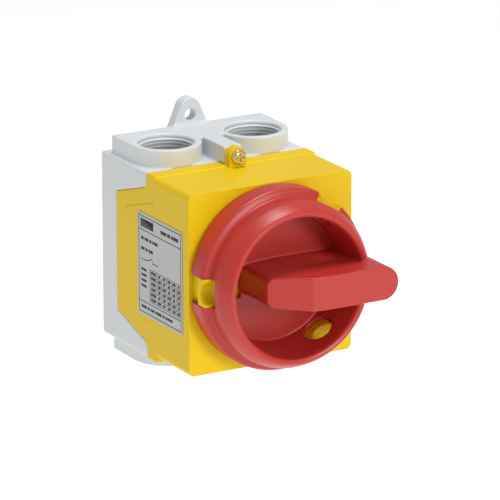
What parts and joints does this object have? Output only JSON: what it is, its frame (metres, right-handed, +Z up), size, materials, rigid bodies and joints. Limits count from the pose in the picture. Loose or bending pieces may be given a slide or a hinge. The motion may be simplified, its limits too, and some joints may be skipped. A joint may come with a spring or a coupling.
{
  "type": "rotary isolator switch",
  "caption": "Wall-mounted enclosed rotary isolator: grey base with threaded cable entries, yellow cover, and a red dished handle with a grip bar that padlocks when off.",
  "frame": {"origin": "middle of the flat back of the base housing, on the wall", "axes": "+Z up, +X to the right when seen from the front, +Y into the wall, so the handle faces -Y"},
  "size_m": [0.0785, 0.1114, 0.117],
  "materials": {
    "grey_plastic": "fine moulded grain, light grey",
    "yellow_plastic": "smooth moulded, signal yellow",
    "red_plastic": "smooth moulded, signal red",
    "black_nylon": "moulded nylon",
    "white_nylon": "moulded acetal",
    "block_plastic": "dark grey thermoset, fine grain",
    "rubber": "soft black rubber",
    "label_foil": "printed silver foil",
    "steel": "drawn bright bar",
    "spring_steel": "oiled spring steel",
    "zinc_steel": "bright zinc plate",
    "copper": "bare copper, tinned tips",
    "brass": "machined brass"
  },
  "bodies": {
    "enclosure": {"base_housing": "grey_plastic", "cover": "yellow_plastic", "cover_gasket": "rubber", "cover_screws": "zinc_steel", "rating_label": "label_foil", "lock_ring": "yellow_plastic", "hub_seal": "rubber", "front_plate": "block_plastic", "detent_housing": "block_plastic", "detent_springs": "spring_steel", "pole_frame_1": "block_plastic", "pole_frame_2": "block_plastic", "pole_frame_3": "block_plastic", "fixed_contacts_1": "brass", "fixed_contacts_2": "brass", "fixed_contacts_3": "brass", "terminal_screws": "zinc_steel", "terminal_clamps": "zinc_steel", "rear_plate": "block_plastic", "stack_screws": "zinc_steel", "block_screws": "zinc_steel", "earth_terminal": "brass", "earth_screws": "zinc_steel", "neutral_terminal": "brass", "neutral_screws": "zinc_steel"},
    "handle": {"handle": "red_plastic", "shackle_saddles": "yellow_plastic", "handle_hub": "black_nylon", "hub_screw": "zinc_steel", "hub_clip": "spring_steel"},
    "rotor": {"spindle": "steel", "detent_wheel": "white_nylon", "contact_drum_1": "black_nylon", "contact_drum_2": "black_nylon", "contact_drum_3": "black_nylon", "contact_blade_1": "copper", "contact_blade_2": "copper", "contact_blade_3": "copper"}
  },
  "joints": [
    {"name": "handle_turn", "type": "hinge", "parent": "enclosure", "child": "handle", "pos_m": [0, -0.0759, 0.0008], "axis": [0, 1, 0], "range_deg": [0, 90], "deforming": ["detent_springs"]},
    {"name": "spindle_turn", "type": "hinge", "parent": "enclosure", "child": "rotor", "pos_m": [0, -0.04, 0.0008], "axis": [0, 1, 0], "range_deg": [0, 90]}
  ],
  "couplings": [
    {"joint": "spindle_turn", "follows": "handle_turn", "ratio": 1}
  ]
}
